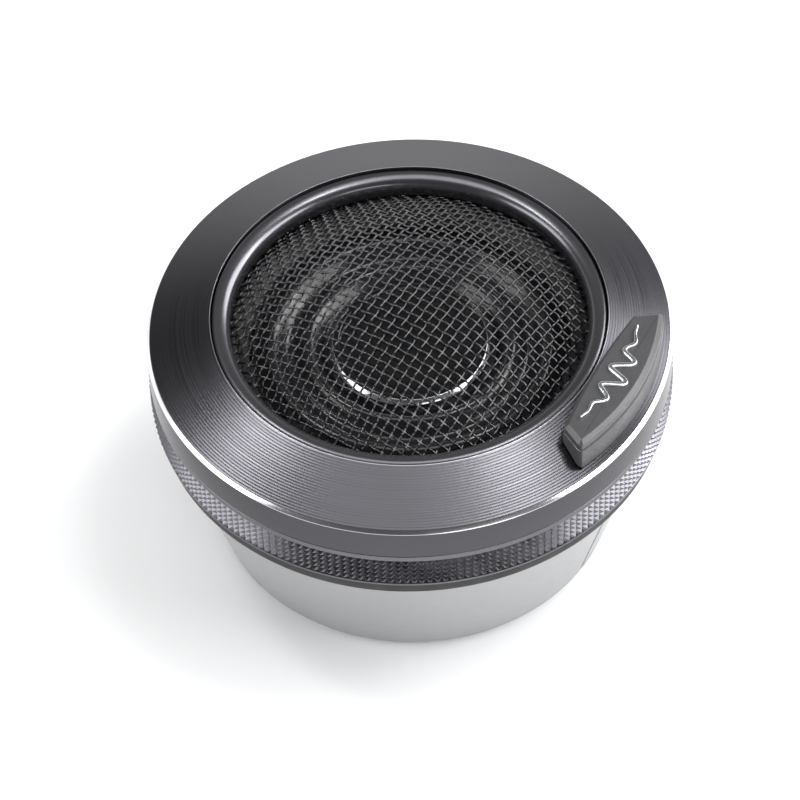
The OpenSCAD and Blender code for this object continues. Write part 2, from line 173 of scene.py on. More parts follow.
class TweeterSettings(bpy.types.PropertyGroup):
    trim: bpy.props.PointerProperty(type=TrimSizes)
    knurl: bpy.props.PointerProperty(type=KnurlSizes)
    cloth: bpy.props.PointerProperty(type=ClothSizes)
    badge: bpy.props.PointerProperty(type=BadgeSizes)
    driver: bpy.props.PointerProperty(type=DriverSizes)
    stage: bpy.props.PointerProperty(type=StageSizes)
    colours: bpy.props.PointerProperty(type=Colours)


def settings():
    return bpy.context.scene.tweeter


# ---------------- surfaces


def unit(vectors):
    """Each vector divided by its length."""
    return vectors / np.linalg.norm(vectors, axis=-1, keepdims=True)


def soften(outline, cut, steps=5, closed=True):
    """Rounds each corner of an outline with a parabola. It starts at the cut length before the
    corner P, ends at the cut length after it, and at t is (1-t)^2 A + 2t(1-t) P + t^2 B."""
    points = np.asarray(outline, float)
    back, ahead = np.roll(points, 1, axis=0) - points, np.roll(points, -1, axis=0) - points
    if not closed:
        back[0], ahead[-1] = ahead[0], back[-1]
    size_back = np.linalg.norm(back, axis=1)
    size_ahead = np.linalg.norm(ahead, axis=1)
    cut = np.minimum(np.broadcast_to(cut, len(points)), 0.45 * np.minimum(size_back, size_ahead))
    start = points + back * (cut / size_back)[:, None]
    end = points + ahead * (cut / size_ahead)[:, None]
    t = np.linspace(0, 1, steps)[None, :, None]
    arcs = (1 - t) ** 2 * start[:, None] + 2 * t * (1 - t) * points[:, None] + t ** 2 * end[:, None]
    if closed:
        return arcs.reshape(-1, points.shape[1])
    return np.vstack([points[:1], arcs[1:-1].reshape(-1, points.shape[1]), points[-1:]])


def add_object(name, data):
    made = bpy.data.objects.new(name, data)
    bpy.context.scene.collection.objects.link(made)
    return made


class Shell:
    """Grids of points, in millimetres, gathered into one closed mesh. A grid's rows follow an
    outline and its columns the path that the outline is carried along."""

    def __init__(self):
        self.points, self.faces, self.maps, self.slots = [], [], [], []
        self.count = 0

    def add(self, points):
        """Adds points, and returns the number of the first."""
        start = self.count
        flat = np.asarray(points, float).reshape(-1, 3)
        self.points.append(flat)
        self.count += len(flat)
        return start

    def polygons(self, faces, maps, slots):
        """Adds faces of one size, with a map position for each corner and a material number."""
        self.faces.append(faces)
        self.maps.append(maps)
        self.slots.append(np.broadcast_to(slots, len(faces)))

    def grid(self, points, wrap_rows=False, wrap_cols=True, slots=0):
        """Quads between neighbouring points of a (rows, columns, 3) array. slots is one material
        number, or one for each row of quads. Returns the number of the grid's first point."""
        rows, cols = points.shape[:2]
        start = self.add(points)
        i, j = np.meshgrid(np.arange(rows if wrap_rows else rows - 1),
                           np.arange(cols if wrap_cols else cols - 1), indexing="ij")
        ni, nj = (i + 1) % rows, (j + 1) % cols
        faces = np.stack([i * cols + j, i * cols + nj, ni * cols + nj, ni * cols + j], axis=2)
        u = np.stack([j, j + 1, j + 1, j], axis=2) / cols
        v = np.stack([i, i, i + 1, i + 1], axis=2) / rows
        slots = np.broadcast_to(np.asarray(slots).reshape(-1, 1), i.shape)
        self.polygons(start + faces.reshape(-1, 4), np.stack([u, v], axis=3).reshape(-1, 4, 2),
                      slots.reshape(-1))
        return start

    def fan(self, first, cols, tip, slots=0):
        """Triangles from a ring of points to one tip point."""
        middle = self.add(np.asarray(tip, float)[None])
        j = np.arange(cols)
        faces = np.stack([first + j, first + (j + 1) % cols, np.full(cols, middle)], axis=1)
        u = np.stack([j, j + 1, j + 0.5], axis=1) / cols
        v = np.broadcast_to([0.0, 0.0, 1.0], (cols, 3))
        self.polygons(faces, np.stack([u, v], axis=2), slots)

    def lid(self, first, cols, slots=0):
        """One flat face over a ring of points."""
        faces = (first + np.arange(cols))[None]
        turn = np.arange(cols) / cols * TAU
        maps = 0.5 + 0.5 * np.stack([np.cos(turn), np.sin(turn)], axis=1)[None]
        self.polygons(faces, maps, slots)

    def finish(self, name, materials, sharp=32.0):
        """The mesh object, with outward normals, smooth but for edges above the sharp angle."""
        mesh = bpy.data.meshes.new(name)
        points = np.concatenate(self.points) * MM
        sizes = np.concatenate([np.full(len(f), f.shape[1]) for f in self.faces])
        corners = np.concatenate([f.ravel() for f in self.faces])
        maps = np.concatenate([m.reshape(-1, 2) for m in self.maps])
        mesh.vertices.add(len(points))
        mesh.vertices.foreach_set("co", points.astype(np.float32).ravel())
        mesh.loops.add(len(corners))
        mesh.loops.foreach_set("vertex_index", corners.astype(np.int32))
        mesh.polygons.add(len(sizes))
        starts = np.concatenate([[0], np.cumsum(sizes)[:-1]])
        mesh.polygons.foreach_set("loop_start", starts.astype(np.int32))
        mesh.polygons.foreach_set("material_index", np.concatenate(self.slots).astype(np.int32))
        layer = mesh.uv_layers.new(name=UV_NAME)
        layer.data.foreach_set("uv", maps.astype(np.float32).ravel())
        mesh.update(calc_edges=True)
        if mesh.validate():
            raise RuntimeError(f"the mesh of {name} had faults")
        work = bmesh.new()
        work.from_mesh(mesh)
        bmesh.ops.recalc_face_normals(work, faces=work.faces)
        work.to_mesh(mesh)
        work.free()
        mesh.shade_smooth()
        mesh.set_sharp_from_angle(angle=math.radians(sharp))
        for material in materials:
            mesh.materials.append(material)
        return add_object(name, mesh)


def turned_points(outline, segments):
    """An outline of (radius, height) carried round the Z axis: at angle a each point is
    (radius cos a, radius sin a, height)."""
    angle = np.arange(segments) / segments * TAU
    r, z = np.asarray(outline, float).T
    return np.stack([r[:, None] * np.cos(angle), r[:, None] * np.sin(angle),
                     np.broadcast_to(z[:, None], (len(z), segments))], axis=2)


def turned_ring(name, outline, materials, segments=256, slots=0, sharp=32.0):
    """A ring whose closed outline goes round the Z axis."""
    shell = Shell()
    shell.grid(turned_points(outline, segments), wrap_rows=True, slots=slots)
    return shell.finish(name, materials, sharp)


def turned_disc(name, outline, materials, segments=256, slots=0):
    """A solid disc whose outline starts and ends on the Z axis, where fans close it."""
    outline = np.asarray(outline, float)
    shell = Shell()
    slots = np.broadcast_to(slots, len(outline) - 1)
    points = turned_points(outline[1:-1], segments)
    first = shell.grid(points, slots=slots[1:-1])
    shell.fan(first, segments, (0, 0, outline[0, 1]), slots[0])
    shell.fan(first + (len(points) - 1) * segments, segments, (0, 0, outline[-1, 1]), slots[-1])
    return shell.finish(name, materials)


def fit(piece, body, slot, *nodes):
    """Puts a piece on its body, in place of its CAD nodes."""
    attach(piece, body)
    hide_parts(*nodes)


# ---------------- finishes


# scales of the noise that draws turned lines, in lines per metre
FINE_LINES, BROAD_LINES = 14000, 5200


class Nodes:
    """Short calls that make and link the nodes of one tree."""

    def __init__(self, owner):
        owner.use_nodes = True
        self.tree = owner.node_tree

    def node(self, kind, **values):
        made = self.tree.nodes.new(kind)
        for key, value in values.items():
            setattr(made, key, value)
        return made

    def link(self, source, target):
        self.tree.links.new(source, target)

    def maths(self, operation, a, b=0.0):
        made = self.node("ShaderNodeMath", operation=operation)
        for socket, value in zip(made.inputs, (a, b)):
            if isinstance(value, bpy.types.NodeSocket):
                self.link(value, socket)
            else:
                socket.default_value = value
        return made.outputs[0]

    def spread(self, value, low, high, start=0.3, end=0.7, **values):
        """Maps a value's range from start to end onto low to high."""
        made = self.node("ShaderNodeMapRange", **values)
        limits = {"From Min": start, "From Max": end, "To Min": low, "To Max": high}
        for key, limit in limits.items():
            made.inputs[key].default_value = limit
        self.link(value, made.inputs["Value"])
        return made.outputs[0]


class Recipe(Nodes):
    """A material, with the groups of nodes that the finishes share. A scale of noise or cells is
    in cells per metre."""

    def __init__(self, name, tint, roughness, metallic=0.0, **sockets):
        self.material = bpy.data.materials.new(name)
        super().__init__(self.material)
        self.shader = self.tree.nodes["Principled BSDF"]
        self.tint = tuple(tint)
        self.shader.inputs["Base Color"].default_value = (*self.tint, 1)
        self.shader.inputs["Roughness"].default_value = roughness
        self.shader.inputs["Metallic"].default_value = metallic
        for socket, value in sockets.items():
            self.shader.inputs[socket.replace("_", " ")].default_value = value
        self.place = self.node("ShaderNodeTexCoord").outputs["Object"]

    def parts(self):
        """The three coordinates of a point, as separate outputs."""
        made = self.node("ShaderNodeSeparateXYZ")
        self.link(self.place, made.inputs[0])
        return made.outputs

    def ripple(self, axis, pitch):
        """Sine along one axis, with its period in millimetres."""
        return self.maths("SINE", self.maths("MULTIPLY", self.parts()[axis], TAU / (pitch * MM)))

    def weave(self, pitch):
        """Product of the sines along X and Y: a lattice of bumps and hollows."""
        return self.maths("MULTIPLY", self.ripple(0, pitch), self.ripple(1, pitch))

    def stretched(self, scale):
        """Object coordinates multiplied by three numbers."""
        made = self.node("ShaderNodeMapping")
        made.inputs["Scale"].default_value = scale
        self.link(self.place, made.inputs["Vector"])
        return made.outputs[0]

    def radius(self):
        """Distance from the Z axis."""
        flat = self.node("ShaderNodeVectorMath", operation="MULTIPLY")
        flat.inputs[1].default_value = (1, 1, 0)
        self.link(self.place, flat.inputs[0])
        size = self.node("ShaderNodeVectorMath", operation="LENGTH")
        self.link(flat.outputs[0], size.inputs[0])
        return size.outputs["Value"]

    def ring_lines(self, scale):
        """Noise that depends on radius and height alone, which draws lines round the axis."""
        join = self.node("ShaderNodeCombineXYZ")
        self.link(self.radius(), join.inputs[0])
        self.link(self.parts()[2], join.inputs[2])
        return self.noise(scale, vector=join.outputs[0], detail=3)

    def noise(self, scale, vector=None, detail=2.0):
        made = self.node("ShaderNodeTexNoise")
        made.inputs["Scale"].default_value = scale
        made.inputs["Detail"].default_value = detail
        made.inputs["Roughness"].default_value = 0.55
        self.link(vector or self.place, made.inputs["Vector"])
        return made.outputs["Fac"]

    def cells(self, scale, vector=None):
        made = self.node("ShaderNodeTexVoronoi")
        made.inputs["Scale"].default_value = scale
        self.link(vector or self.place, made.inputs["Vector"])
        return made.outputs["Distance"]

    def shade(self, value, low, high):
        """Base colour between the tint times low and the tint times high."""
        made = self.node("ShaderNodeMix", data_type="RGBA")
        self.link(value, made.inputs["Factor"])
        made.inputs[6].default_value = (*[min(1.0, c * low) for c in self.tint], 1)
        made.inputs[7].default_value = (*[min(1.0, c * high) for c in self.tint], 1)
        self.link(made.outputs[2], self.shader.inputs["Base Color"])

    def gloss(self, value, low, high):
        """Roughness that follows a value."""
        self.link(self.spread(value, low, high), self.shader.inputs["Roughness"])

    def bumps(self, *layers):
        """Bump layers of (height, strength, distance in millimetres), one over the next."""
        normal = None
        for height, strength, distance in layers:
            made = self.node("ShaderNodeBump")
            made.inputs["Strength"].default_value = strength
            made.inputs["Distance"].default_value = distance * MM
            self.link(height, made.inputs["Height"])
            if normal is not None:
                self.link(normal, made.inputs["Normal"])
            normal = made.outputs[0]
        self.link(normal, self.shader.inputs["Normal"])

    def brushed_round(self, amount):
        """Stretches highlights across the lines that go round the axis."""
        self.shader.inputs["Anisotropic"].default_value = amount
        made = self.node("ShaderNodeTangent", direction_type="UV_MAP", uv_map=UV_NAME)
        self.link(made.outputs[0], self.shader.inputs["Tangent"])


def turned_metal(name, tint, roughness, lines=0.25, brushed=0.0, contrast=0.12):
    """Lathe-turned metal: fine lines round the axis in its colour, gloss and height."""
    recipe = Recipe(name, tint, roughness, metallic=1.0)
    fine = recipe.ring_lines(FINE_LINES)
    recipe.shade(fine, 1 - contrast, 1 + contrast)
    recipe.gloss(recipe.ring_lines(BROAD_LINES), roughness * 0.8, roughness * 1.25)
    recipe.bumps((fine, lines, 0.004), (recipe.noise(BROAD_LINES), 0.05, 0.004))
    if brushed:
        recipe.brushed_round(brushed)
    return recipe.material


def metal(name, tint, roughness, grain=3500, bump=0.08):
    """Plated or bare metal with a mottled gloss."""
    recipe = Recipe(name, tint, roughness, metallic=1.0)
    cloud = recipe.noise(grain * 0.12, detail=4)
    recipe.shade(cloud, 0.86, 1.1)
    recipe.gloss(cloud, roughness * 0.75, roughness * 1.35)
    recipe.bumps((recipe.noise(grain), bump, 0.006))
    return recipe.material


def moulded(name, tint, roughness, grain=5200, bump=0.2):
    """Moulded or sprayed surface: fine grain over slow changes of gloss."""
    recipe = Recipe(name, tint, roughness)
    cloud = recipe.noise(420, detail=3)
    fine = recipe.noise(grain, detail=3)
    recipe.shade(recipe.spread(fine, 0.0, 1.0), 0.86, 1.16)
    recipe.gloss(cloud, roughness * 0.86, roughness * 1.18)
    recipe.bumps((fine, bump, 0.01))
    return recipe.material


def silver_paint(name, tint):
    """Metallic lacquer: flakes a few hundredths of a millimetre wide under a satin coat."""
    recipe = Recipe(name, tint, 0.42, metallic=0.35, Coat_Weight=0.25, Coat_Roughness=0.32)
    flakes = recipe.cells(16000)
    recipe.shade(recipe.spread(flakes, 0.0, 1.0, 0.1, 0.8), 0.9, 1.12)
    recipe.gloss(recipe.noise(900, detail=3), 0.38, 0.46)
    recipe.bumps((recipe.noise(2400), 0.12, 0.006), (flakes, 0.05, 0.004))
    return recipe.material


def fibres(name, tint, scale):
    """Felt: short crossing fibres."""
    recipe = Recipe(name, tint, 0.95)
    first = recipe.noise(scale, vector=recipe.stretched((1, 0.15, 0.4)), detail=5)
    second = recipe.noise(scale, vector=recipe.stretched((0.15, 1, 0.4)), detail=5)
    both = recipe.maths("MAXIMUM", first, second)
    recipe.shade(both, 0.5, 1.5)
    recipe.bumps((both, 0.8, 0.1))
    return recipe.material


def foam(name, tint):
    """Closed-cell foam: round pores of uneven size, with painted shade inside the pores."""
    recipe = Recipe(name, tint, 0.9)
    pores = recipe.cells(2600)
    # darker in the pores: painted shade in the hollows
    recipe.shade(recipe.spread(pores, 0.0, 1.0, 0.1, 0.7), 0.6, 1.4)
    recipe.bumps((pores, 0.7, 0.08), (recipe.noise(9000), 0.3, 0.02))
    return recipe.material


def glossy(name, tint, roughness):
    """Polished plastic or dope with a faint swirl."""
    recipe = Recipe(name, tint, roughness, Coat_Weight=0.6, Coat_Roughness=0.05)
    cloud = recipe.noise(700, detail=3)
    recipe.shade(cloud, 0.7, 1.3)
    recipe.gloss(cloud, roughness * 0.7, roughness * 1.4)
    recipe.bumps((recipe.noise(1400), 0.03, 0.01))
    return recipe.material


def doped_silk(name, tint):
    """Silk under a glossy damping coat: the weave shows as a fine lattice of low bumps."""
    recipe = Recipe(name, tint, 0.22, Coat_Weight=0.5, Coat_Roughness=0.12)
    weave = recipe.maths("ADD", recipe.weave(0.16), recipe.noise(2600))
    recipe.shade(recipe.noise(500, detail=3), 0.7, 1.35)
    recipe.gloss(recipe.noise(800), 0.16, 0.3)
    recipe.bumps((weave, 0.12, 0.008))
    return recipe.material


def glass_epoxy(name, tint):
    """Printed-circuit laminate: a woven grid of glass under resin."""
    recipe = Recipe(name, tint, 0.4)
    weave = recipe.spread(recipe.weave(0.7), 0.0, 1.0, -1.0, 1.0)
    recipe.shade(weave, 0.8, 1.2)
    recipe.bumps((weave, 0.2, 0.02), (recipe.noise(3000), 0.1, 0.01))
    return recipe.material


def wound_copper(name, tint):
    """Lacquered copper wire wound in turns 0.13 mm apart, with painted shade in the grooves between
    turns.
    """
    recipe = Recipe(name, tint, 0.28, metallic=1.0)
    turns = recipe.spread(recipe.ripple(2, 0.13), 0.0, 1.0, -1.0, 1.0)
    # colour follows the turns: painted shade in the grooves and a painted highlight on the crests
    recipe.shade(turns, 0.55, 1.15)
    recipe.bumps((turns, 0.8, 0.05))
    return recipe.material


def floor_paper(name, tint):
    """Matt backdrop paper with a very faint tooth."""
    recipe = Recipe(name, tint, 0.9)
    recipe.shade(recipe.noise(35, detail=2), 0.995, 1.005)
    recipe.bumps((recipe.noise(1500), 0.02, 0.02))
    return recipe.material


# ---------------- stage

# name, direction from the object (x, y, z), distance, width and height in metres, radiance
LIGHTS = (
    ("top_box", (0.0, 0.12, 1.00), 0.80, 0.58, 0.46, 2.3),
    ("right_sector", (0.30, 0.10, 0.95), 0.72, 0.13, 0.14, 16.0),
    ("left_sector", (-0.43, 0.22, 0.875), 0.72, 0.12, 0.17, 15.0),
    ("right_box", (0.88, -0.12, 0.46), 0.70, 0.50, 0.34, 6.0),
    ("left_box", (-0.88, -0.12, 0.46), 0.70, 0.46, 0.34, 4.0),
    ("key_box", (0.78, 0.39, 0.49), 0.90, 0.55, 0.50, 7.0),
    ("front_fill", (0.35, -0.85, 0.40), 0.80, 0.40, 0.25, 3.5),
)
# strength of the sky at the horizon, overhead and in the dark patch above the camera, and the
# share of it that is left at the front's left
SKY_RIM, SKY_TOP, SKY_FRONT, SKY_LEFT = 1.4, 0.16, 0.08, 0.8


class StageOperator(bpy.types.Operator):
    """Floor, backdrop, soft lights and the camera"""

    bl_idname = "tweeter.stage"
    bl_label = "Stage"

    def execute(self, context):
        self.floor()
        self.lights()
        self.camera(settings().stage)
        view = bpy.context.scene.view_settings
        view.view_transform, view.look = "Standard", "None"
        return {"FINISHED"}

    def floor(self):
        """A flat round floor, far wider than the view from above, in rings that widen outwards."""
        inner, reach, rings, segments = 10.0, 6000.0, 12, 96
        radii = np.geomspace(inner, reach, rings)
        shell = Shell()
        first = shell.grid(turned_points(np.stack([radii, np.zeros(rings)], axis=1), segments))
        shell.fan(first, segments, (0, 0, 0))
        floor = shell.finish("floor", [floor_paper("floor_paper", settings().colours.floor)])
        if floor.data.polygons[0].normal.z < 0:
            floor.data.flip_normals()

    def lights(self):
        centre = Vector((0, 0, high_z("twist_ring") * MM))
        for name, way, distance, width, height, radiance in LIGHTS:
            light = bpy.data.lights.new(name, "AREA")
            light.shape = "RECTANGLE"
            light.size, light.size_y = width, height
            light.energy = radiance * math.pi * width * height
            lamp = add_object(name, light)
            direction = Vector(way).normalized()
            lamp.location = centre + direction * distance
            lamp.rotation_euler = direction.to_track_quat("Z", "Y").to_euler()
        self.sky()

    def sky(self):
        """Sky that is white at the horizon, greyer overhead, dark in front and above, and a little
        darker at the front's left."""
        world = bpy.data.worlds.new("studio")
        sky = Nodes(world)
        way = sky.node("ShaderNodeTexCoord").outputs["Generated"]
        strength = 1.0
        # direction that each ramp is measured along, start and end of the ramp, end strengths
        ramps = (((0, 0, 1), 0.1, 0.5, SKY_RIM, SKY_TOP),
                 ((0, -0.5, 0.87), 0.8, 0.95, 1.0, SKY_FRONT / SKY_TOP),
                 ((-0.75, -0.66, 0), 0.4, 0.9, 1.0, SKY_LEFT))
        for direction, start, end, first, last in ramps:
            dot = sky.node("ShaderNodeVectorMath", operation="DOT_PRODUCT")
            dot.inputs[1].default_value = Vector(direction).normalized()
            sky.link(way, dot.inputs[0])
            part = sky.spread(dot.outputs["Value"], first, last, start, end,
                              interpolation_type="SMOOTHSTEP")
            strength = sky.maths("MULTIPLY", strength, part)
        background = sky.tree.nodes["Background"]
        background.inputs["Color"].default_value = (1, 1, 1, 1)
        sky.link(strength, background.inputs["Strength"])
        bpy.context.scene.world = world

    def camera(self, sizes):
        """The camera stands in front of the face's centre and above it, aims a little in front of
        the centre, and is rolled about its own axis."""
        centre = Vector((0, 0, low_z("trim_ring") + settings().trim.rim_h)) * MM
        away = Vector((0, -math.cos(sizes.elevation), math.sin(sizes.elevation)))
        spot = centre + away * sizes.distance * MM
        aim = centre - Vector((sizes.aim_x, sizes.aim_y, 0)) * MM
        facing = (aim - spot).to_track_quat("-Z", "Y").to_matrix().to_4x4()
        data = bpy.data.cameras.new("camera")
        data.sensor_width, data.lens = 36.0, sizes.lens
        data.clip_start, data.clip_end = 0.01, 20.0
        camera = add_object("camera", data)
        roll = Matrix.Rotation(-sizes.roll, 4, "Z")
        camera.matrix_world = Matrix.Translation(spot) @ facing @ roll
        bpy.context.scene.camera = camera


# ---------------- pieces


class TrimRingOperator(bpy.types.Operator):
    """Turned trim ring with a grooved conical face and a polished chamfer"""

    bl_idname = "tweeter.trim_ring"
    bl_label = "Trim Ring"

    def execute(self, context):
        sizes = settings().trim
        dark = turned_metal("turned_anodised", settings().colours.anodised, 0.22, lines=0.07,
                            brushed=0.65, contrast=0.08)
        bright = turned_metal("polished_edge", (0.82, 0.83, 0.86), 0.16, lines=0.1)
        # paler grey metal for the face's inner edge: a painted highlight line
        painted_highlight = turned_metal("painted_highlight_edge", (0.3, 0.3, 0.32), 0.3, lines=0.1)
        outline, slots = self.outline(sizes)
        piece = turned_ring("trim_ring_turned", outline, [dark, bright, painted_highlight],
                            sizes.segments, slots)
        fit(piece, "head", "dark_anodised", "trim_ring")
        return {"FINISHED"}

    def outline(self, sizes):
        """The face runs from the chamfer to the inner edge. Its height is a straight line less
        depth (1 - cos(2 pi s / pitch)) / 2, where s is the distance from the outer edge. Also
        returns each row's material: 1 on the chamfer, 2 on the inner edge, where a paler metal
        is a painted highlight line, 0 elsewhere."""
        foot, top = low_z("trim_ring"), high_z("trim_ring")
        edge_z = foot + sizes.rim_h
        outer = sizes.rim_r - sizes.chamfer
        inner = sizes.face_inner_r
        drop = sizes.chamfer * 0.9
        land, bore, lip = 0.08, inner - 0.18, 0.6
        seat_z, boss_z, step_r, recess_r = foot + 1.6, foot + 3.2, 22.2, far_x("chassis") + 0.1
        points_per_groove = 8
        grooves = int((outer - inner) / sizes.groove_pitch)
        r = np.linspace(outer - land, inner + land, points_per_groove * grooves)
        slope = (top - edge_z) / (outer - inner)
        wave = 0.5 - 0.5 * np.cos(TAU * (outer - land - r) / sizes.groove_pitch)
        face = np.stack([r, edge_z + (outer - r) * slope - sizes.groove_depth * wave], axis=1)
        rim = soften([[sizes.rim_r, foot], [sizes.rim_r, edge_z - drop], [outer, edge_z],
                      [outer - land, edge_z + land * slope]], 0.05, 4, closed=False)
        under = soften([[inner + land, top - land * slope], [inner, top], [bore, top - lip],
                        [bore, boss_z], [step_r, boss_z], [step_r, seat_z], [recess_r, seat_z],
                        [recess_r, foot], [sizes.rim_r, foot]], 0.04, 4, closed=False)
        outline = np.vstack([rim[:-1], face, under[1:-1]])
        middle = (outline + np.roll(outline, -1, axis=0)) / 2
        slack_r, slack_z = 0.02, 0.03
        # rows on the inner edge take the paler metal, a painted highlight line along that edge
        edge_shift, edge_half, edge_h = 0.015, 0.045, 0.06
        chamfer = (middle[:, 0] > outer - slack_r) & (middle[:, 1] > edge_z - drop - slack_z)
        edge = np.abs(middle[:, 0] - inner - edge_shift) < edge_half
        edge &= middle[:, 1] > top - edge_h
        return outline, chamfer + 2 * edge


class TwistRingOperator(bpy.types.Operator):
    """Twist ring with rows of four-sided knurl pyramids"""

    bl_idname = "tweeter.twist_ring"
    bl_label = "Twist Ring"

    def execute(self, context):
        sizes = settings().knurl
        # the knurled ring's anodised colour is raised 1.8 times: painted light standing in for the
        # light that its shaded facets miss
        painted_light_lift = 1.8
        dark = metal("knurled_anodised_painted_light", [painted_light_lift * c for c in settings().colours.anodised], 0.26,
                     bump=0.0)
        tip_r, cup_r = far_x("twist_ring"), far_x("rear_cup")
        valley_r = tip_r - sizes.depth
        # the ring's foot rises by the shadow gap, so more black washer shows: partly painted shade
        # under the ring
        foot, top = low_z("twist_ring") + sizes.shadow_gap, high_z("twist_ring")
        start = low_z("twist_ring") + sizes.start_h
        end = start + sizes.rows * sizes.row_h
        bore, cam_r, cam_z = cup_r - 1.3, cup_r - 0.12, foot + 0.8
        band_r, slope, rounding = tip_r - 0.15, 0.1, 0.08
        # plain parts: up from the knurl, over the top, down the bore and round to the knurl's foot
        plain = np.vstack([
            [[valley_r, end]],
            soften([[valley_r, end], [band_r, end + slope], [band_r, top], [cam_r, top],
                    [cam_r, cam_z], [bore, cam_z], [bore, foot], [band_r, foot],
                    [band_r, start - slope], [valley_r, start]], rounding, 4, closed=False)[1:-1],
            [[valley_r, start]],
        ])
        shell = Shell()
        first = shell.grid(turned_points(plain, sizes.columns))
        self.pyramids(shell, first, len(plain), sizes, (valley_r, tip_r), start)
        piece = shell.finish("twist_ring_knurled", [dark], sharp=20.0)
        fit(piece, "ring", "dark_anodised", "twist_ring")
        self.washer(tip_r)
        return {"FINISHED"}

    def washer(self, tip_r):
        """A black ring between the twist ring and the cup's shoulder, with a short skirt that
        hangs outside the shoulder. It is blacker than the other nylon and stands taller by the
        shadow gap, so its band is partly a real black washer and partly painted shade under the
        ring."""
        # extra black on the washer: its own colour plus painted shade under the twist ring
        nylon = moulded("washer_black_painted_shade", (0.008, 0.008, 0.009), 0.5, grain=3600, bump=0.2)
        foot, bore = low_z("slip_washer"), far_x("rear_cup") - 1.0
        top = high_z("slip_washer") + settings().knurl.shadow_gap
        outer, inside, hem = tip_r - 0.55, far_x("rear_cup") + 0.08, foot - 0.4
        outline = soften([[bore, foot], [inside, foot], [inside, hem], [outer, hem], [outer, top],
                          [bore, top]], 0.1, 4)
        fit(turned_ring("slip_washer_rim", outline, [nylon]), "cup", "black_nylon", "slip_washer")

    def pyramids(self, shell, first, plain_rows, sizes, radii, start):
        """Corner (k, j) is at angle 2 pi j / columns and height start + k rows up, at the valley
        radius. Each cell has four more points, at its middle plus and minus half the tip's width,
        at the tip radius; four sides and a small flat join them."""
        columns, rows = sizes.columns, sizes.rows
        valley, tip = radii
        j = np.arange(columns)

        def points(r, along, up):
            turn = along / columns * TAU
            return np.stack([r * np.cos(turn), r * np.sin(turn), start + up * sizes.row_h], axis=-1)

        k_in, j_in = np.meshgrid(np.arange(1, rows), j, indexing="ij")
        inner = shell.add(points(valley, j_in, k_in))
        low = first + (plain_rows - 1) * columns + j
        high = first + j
        between = inner + np.arange((rows - 1) * columns).reshape(rows - 1, columns)
        corner = np.vstack([low[None], between, high[None]])
        k, j_all = np.meshgrid(np.arange(rows), j, indexing="ij")
        half = sizes.tip / 2
        shifts = ((-half, -half), (half, -half), (half, half), (-half, half))
        tips = [shell.add(points(tip, j_all + 0.5 + a, k + 0.5 + b))
                + np.arange(rows * columns).reshape(rows, columns) for a, b in shifts]
        feet = [corner[:-1], np.roll(corner[:-1], -1, axis=1),
                np.roll(corner[1:], -1, axis=1), corner[1:]]
        sides = [np.stack([feet[n], feet[(n + 1) % 4], tips[(n + 1) % 4], tips[n]], axis=-1)
                 for n in range(4)]
        sides.append(np.stack(tips, axis=-1))
        faces = np.concatenate([s.reshape(-1, 4) for s in sides])
        square = np.array([[0, 0], [1, 0], [1, 1], [0, 1]], float)
        maps = np.broadcast_to(square, (len(faces), 4, 2))
        shell.polygons(faces, maps, 0)


class GrilleRingOperator(bpy.types.Operator):
    """Rounded black ring that holds the wire cloth"""

    bl_idname = "tweeter.grille_ring"
    bl_label = "Grille Ring"

    def execute(self, context):
        black = Recipe("satin_black", (0.125, 0.125, 0.137), 0.24, metallic=0.85)
        black.gloss(black.ring_lines(3000), 0.2, 0.29)
        black.shade(black.noise(1200, detail=3), 0.9, 1.1)
        black.bumps((black.noise(6500, detail=3), 0.06, 0.004))
        higher, wider, shoulder_h, fall_h = 0.25, 0.06, 0.15, 1.1
        foot, top = low_z("grille_ring"), high_z("grille_ring") + higher
        outer, lip = far_x("grille_ring") + wider, settings().cloth.lip_r
        mesh_z, shoulder = foot + settings().cloth.seat_h, top - shoulder_h
        step_r, crest_share = lip + 1.05, 0.25
        # the crest, then a quarter of an ellipse down to the lip
        crest = outer + crest_share * (lip - outer)
        t = np.linspace(0, 1, 9)[:-1]
        rise = np.stack([outer + (crest - outer) * t,
                         top - (top - shoulder) * (1 - t) ** 2], axis=1)
        turn = np.linspace(0, math.pi / 2, 22)
        fall = np.stack([crest + (lip - crest) * np.sin(turn),
                         top - fall_h * (1 - np.cos(turn))], axis=1)
        crown = np.vstack([rise, fall])
        rest = soften([[lip, crown[-1, 1]], [lip, mesh_z], [step_r, mesh_z], [step_r, foot],
                       [outer, foot], [outer, shoulder]], 0.06, 4, closed=False)
        outline = np.vstack([crown, rest[1:-1]])
        piece = turned_ring("grille_ring_crowned", outline, [black.material])
        fit(piece, "head", "black_satin", "grille_ring")
        return {"FINISHED"}


